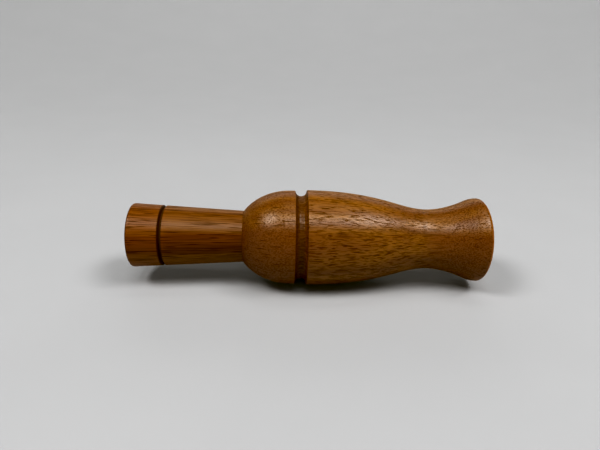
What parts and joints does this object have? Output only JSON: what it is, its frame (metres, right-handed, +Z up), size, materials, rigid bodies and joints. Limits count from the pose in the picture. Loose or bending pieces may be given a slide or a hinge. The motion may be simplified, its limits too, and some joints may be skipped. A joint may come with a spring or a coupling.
{
  "type": "bird call",
  "caption": "Turned wooden reed call: a bulbous barrel with a lanyard groove and flared mouthpiece, and a pull-out insert whose reed lies on a tone board.",
  "frame": {"origin": "on the turning axis, in the middle of the lanyard groove", "axes": "+X along the turning axis towards the mouthpiece, +Z up, with the reed lying face up"},
  "size_m": [0.1397, 0.038, 0.038],
  "materials": {
    "barrel_wood": "orange-brown hardwood with short dark pores, satin lacquer",
    "insert_wood": "redder, straight-streaked hardwood, satin lacquer",
    "ring_rubber": "matt black",
    "board_plastic": "polished black",
    "reed_film": "clear polyester film",
    "wedge_cork": "bare cork"
  },
  "bodies": {
    "barrel": {"barrel": "barrel_wood"},
    "seals": {"o_ring_rear": "ring_rubber", "o_ring_front": "ring_rubber"},
    "insert": {"insert": "insert_wood", "tone_board": "board_plastic", "reed_heel": "reed_film", "wedge": "wedge_cork"},
    "reed": {"reed_tongue": "reed_film"}
  },
  "joints": [
    {"name": "insert_pull", "type": "slide", "parent": "barrel", "child": "seals", "axis": [-1, 0, 0], "range_m": [0, 0.069]},
    {"name": "insert_twist", "type": "hinge", "parent": "seals", "child": "insert", "pos_m": [-0.015, 0, 0], "axis": [1, 0, 0], "continuous": true},
    {"name": "reed_flex", "type": "hinge", "parent": "insert", "child": "reed", "pos_m": [0.0193, 0, 0.00013], "axis": [0, 1, 0], "range_deg": [-2, 2.6], "stiffness_Nm_per_rad": 0.008}
  ]
}
